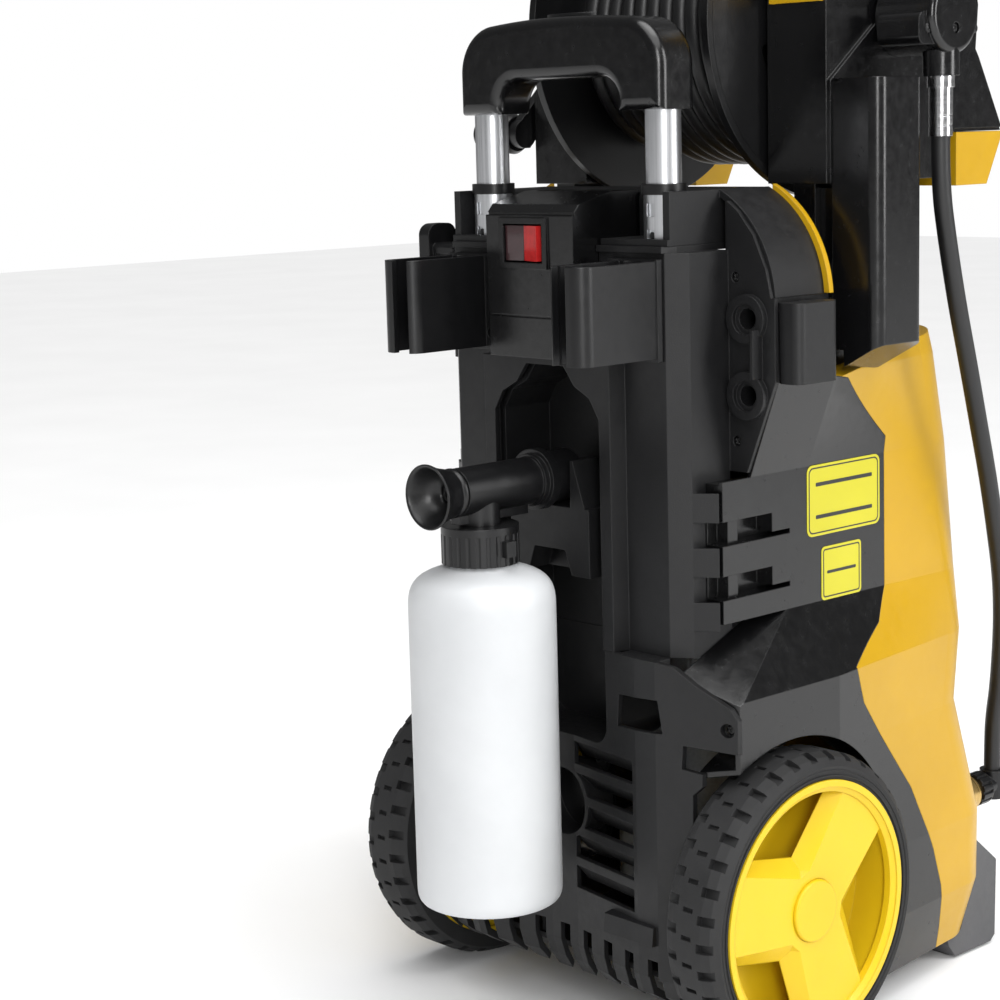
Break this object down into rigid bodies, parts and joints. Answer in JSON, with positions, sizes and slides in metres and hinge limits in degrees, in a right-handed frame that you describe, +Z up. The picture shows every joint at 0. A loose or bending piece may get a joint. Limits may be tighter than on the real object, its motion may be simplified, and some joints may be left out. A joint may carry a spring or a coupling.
{
  "type": "pressure washer",
  "caption": "Upright electric pressure washer on two wheels, with hose reel, telescopic handle, lance hooks, gun holster and foam bottle.",
  "frame": {"origin": "on the ground, at the middle of the whole machine's box", "axes": "+Z up; +Y to the rear, where the handle, switch and bottle face the user; -X is the machine's right side, with the gun holder"},
  "size_m": [0.353, 0.4643, 0.762],
  "materials": {
    "black_matte": "moulded, fine grain",
    "black_gloss": "moulded, glossy",
    "black_trim": "moulded, satin",
    "yellow_body": "moulded, glossy",
    "yellow_wheel": "moulded, glossy",
    "grey_foot": "moulded, satin",
    "tyre_rubber": "moulded solid tyre",
    "soft_rubber": "matte",
    "hose": "smooth jacket",
    "aluminium_tube": "brushed, anodised",
    "bottle_plastic": "translucent, blow-moulded",
    "red_lens": "see-through red and dark halves",
    "chrome_metal": "polished",
    "brass_metal": "turned",
    "steel": "turned",
    "cast_aluminium": "die-cast"
  },
  "bodies": {
    "machine": {"side_cover_right": "black_gloss", "side_cover_left": "black_gloss", "front_shell": "yellow_body", "front_foot": "grey_foot", "rubber_feet": "soft_rubber", "base_tray": "black_matte", "rear_housing": "black_matte", "rear_grille": "black_matte", "top_deck": "black_matte", "yellow_trim": "yellow_body", "side_blocks": "black_matte", "lance_hook_right": "black_trim", "lance_hook_left": "black_trim", "switch_box": "black_gloss", "outer_tubes": "aluminium_tube", "tube_collars": "black_trim", "foam_bracket": "black_matte", "axle": "steel", "reel_upright_right": "black_gloss", "reel_upright_left": "black_gloss", "gun_holder": "black_gloss", "inlet_cover": "black_gloss", "screws": "steel", "ferrule": "chrome_metal", "link_hose": "hose", "hose_nut": "black_trim", "outlet_fitting": "brass_metal", "inlet_coupling": "black_trim", "motor_housing": "cast_aluminium", "pump_body": "cast_aluminium", "pump_head": "cast_aluminium", "pistons": "steel", "cable_gland": "black_matte"},
    "wheel_right": {"tyre_right": "tyre_rubber", "rim_right": "yellow_wheel", "hub_cap_right": "yellow_wheel"},
    "wheel_left": {"tyre_left": "tyre_rubber", "rim_left": "yellow_wheel", "hub_cap_left": "yellow_wheel"},
    "handle": {"inner_tubes": "aluminium_tube", "handle_grip": "black_gloss"},
    "release": {"release_button": "black_trim"},
    "locks": {"lock_pins": "black_trim"},
    "rocker": {"rocker_switch": "red_lens"},
    "foam_unit": {"foam_head": "black_trim", "bottle_cap": "black_trim", "suction_tube": "bottle_plastic"},
    "bottle": {"foam_bottle": "bottle_plastic"},
    "nozzle": {"foam_nozzle": "black_trim"},
    "reel": {"reel_drum": "black_trim", "reel_flange_right": "black_trim", "reel_flange_left": "black_trim", "hose_winding": "hose", "hose_connector": "brass_metal", "crank_arm": "black_trim"},
    "knob": {"crank_knob": "black_trim"},
    "lead_hook": {"cord_hook": "black_trim"},
    "motor": {"motor_rotor": "steel", "cooling_fan": "black_trim", "swash_plate": "steel"}
  },
  "joints": [
    {"name": "wheel_right_spin", "type": "hinge", "parent": "machine", "child": "wheel_right", "pos_m": [-0.144, 0.04385, 0.1], "axis": [1, 0, 0], "continuous": true},
    {"name": "wheel_left_spin", "type": "hinge", "parent": "machine", "child": "wheel_left", "pos_m": [0.144, 0.04385, 0.1], "axis": [1, 0, 0], "continuous": true},
    {"name": "handle_slide", "type": "slide", "parent": "machine", "child": "handle", "axis": [0, 0, 1], "range_m": [0, 0.22]},
    {"name": "release_press", "type": "slide", "parent": "handle", "child": "release", "axis": [0, 0, -1], "range_m": [0, 0.005], "stiffness_N_per_m": 500, "springref_m": -0.003},
    {"name": "lock_pin_slide", "type": "slide", "parent": "handle", "child": "locks", "axis": [0, -1, 0], "range_m": [0, 0.004]},
    {"name": "rocker_tip", "type": "hinge", "parent": "machine", "child": "rocker", "pos_m": [0.0045, 0.11585, 0.517], "axis": [0, 0, 1], "range_deg": [0, 14]},
    {"name": "foam_unit_lift", "type": "slide", "parent": "machine", "child": "foam_unit", "axis": [0, 0, 1], "range_m": [0, 0.04]},
    {"name": "bottle_unscrew", "type": "hinge", "parent": "foam_unit", "child": "bottle", "pos_m": [0, 0.17165, 0.33], "axis": [0, 0, 1], "continuous": true},
    {"name": "nozzle_turn", "type": "hinge", "parent": "foam_unit", "child": "nozzle", "pos_m": [0, 0.20385, 0.368], "axis": [0, 1, 0], "range_deg": [-90, 90]},
    {"name": "reel_spin", "type": "hinge", "parent": "machine", "child": "reel", "pos_m": [0, -0.06815, 0.65], "axis": [1, 0, 0], "continuous": true},
    {"name": "knob_spin", "type": "hinge", "parent": "reel", "child": "knob", "pos_m": [0.158, -0.00215, 0.584], "axis": [1, 0, 0], "continuous": true},
    {"name": "lead_hook_turn", "type": "hinge", "parent": "machine", "child": "lead_hook", "pos_m": [0.115, 0.08235, 0.503], "axis": [-1, 0, 0], "range_deg": [0, 180]},
    {"name": "motor_spin", "type": "hinge", "parent": "machine", "child": "motor", "pos_m": [0, -0.03615, 0.25], "axis": [0, 0, 1], "continuous": true}
  ],
  "couplings": [
    {"joint": "lock_pin_slide", "follows": "release_press", "ratio": 0.8}
  ]
}
